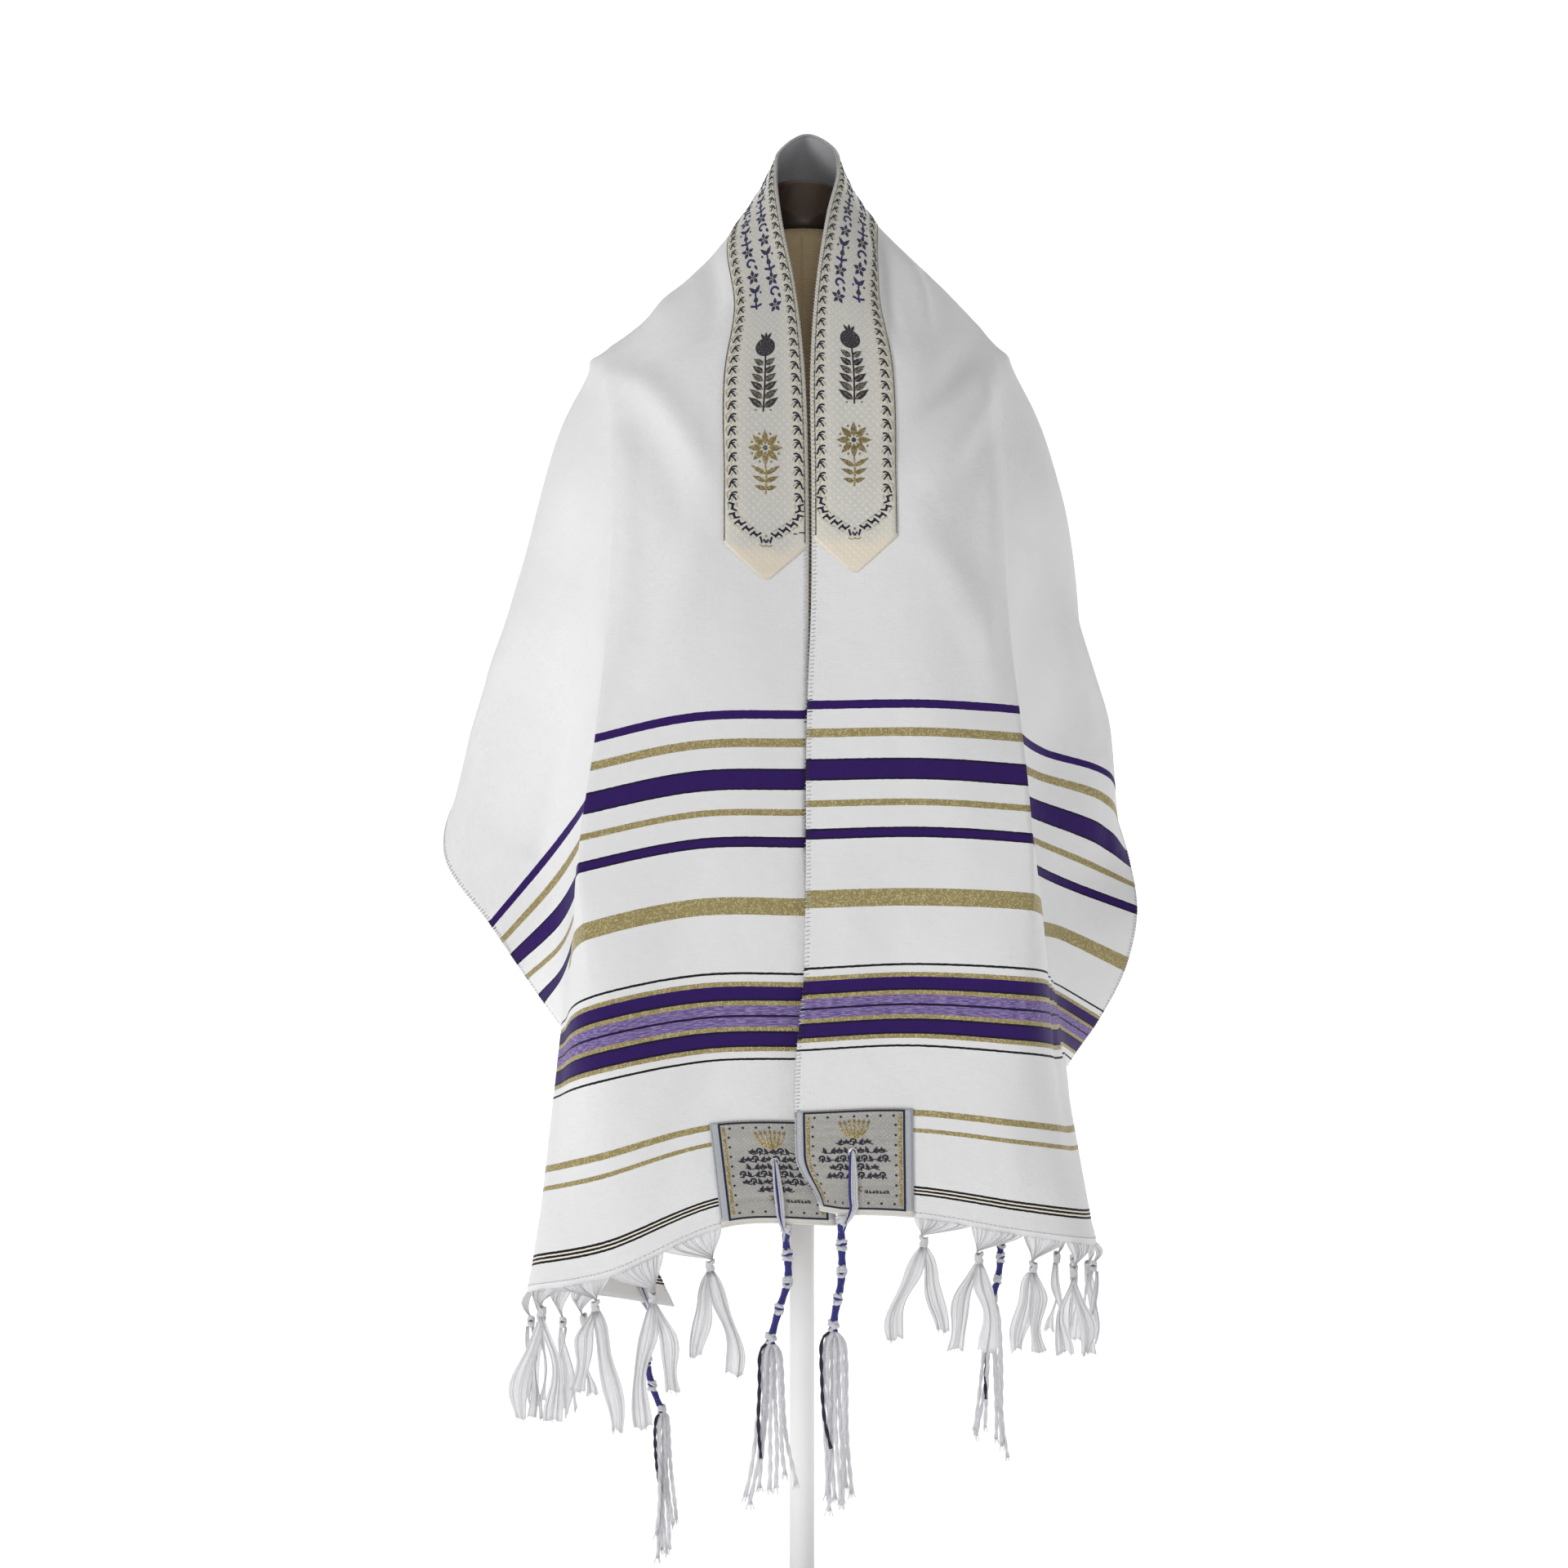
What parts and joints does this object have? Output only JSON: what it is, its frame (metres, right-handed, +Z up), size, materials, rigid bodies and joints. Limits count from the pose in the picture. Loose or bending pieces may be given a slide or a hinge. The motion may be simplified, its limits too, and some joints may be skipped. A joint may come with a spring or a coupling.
{
  "type": "tallit prayer shawl on a limbless dress form",
  "caption": "Striped prayer shawl with neck band, corner patches, fringes and knotted corner tassels, draped over a limbless dress form on a round foot.",
  "frame": {"origin": "centre of the stand base's underside, on the floor", "axes": "+Z up, +X to the viewer's right, +Y away from the viewer; the shawl's front opening faces -Y"},
  "size_m": [0.5844, 0.3486, 1.2511],
  "materials": {
    "white_woven_viscose": "white plain-woven viscose with purple, gold and black cross stripes",
    "cream_brocade": "cream jacquard band with navy and gold woven borders",
    "silver_satin": "silver-grey woven patch with navy and gold lines",
    "white_yarn": "loose white yarn, knotted",
    "white_and_blue_cord": "white cord wound and knotted with blue cord",
    "natural_linen": "plain natural linen cover",
    "stained_wood": "dark stained wood",
    "white_painted_steel": "white powder coat"
  },
  "bodies": {
    "root": {"shawl_left": "white_woven_viscose", "shawl_back": "white_woven_viscose", "shawl_right": "white_woven_viscose", "neck_band": "cream_brocade", "patch_front_left": "silver_satin", "patch_front_right": "silver_satin", "patch_back_left": "silver_satin", "patch_back_right": "silver_satin", "fringe_left": "white_yarn", "fringe_right": "white_yarn", "tassel_front_left": "white_and_blue_cord", "tassel_front_right": "white_and_blue_cord", "tassel_back_left": "white_and_blue_cord", "tassel_back_right": "white_and_blue_cord", "form_torso": "natural_linen", "form_neck_cap": "stained_wood", "stand_pole": "white_painted_steel", "stand_base": "white_painted_steel"}
  },
  "joints": []
}
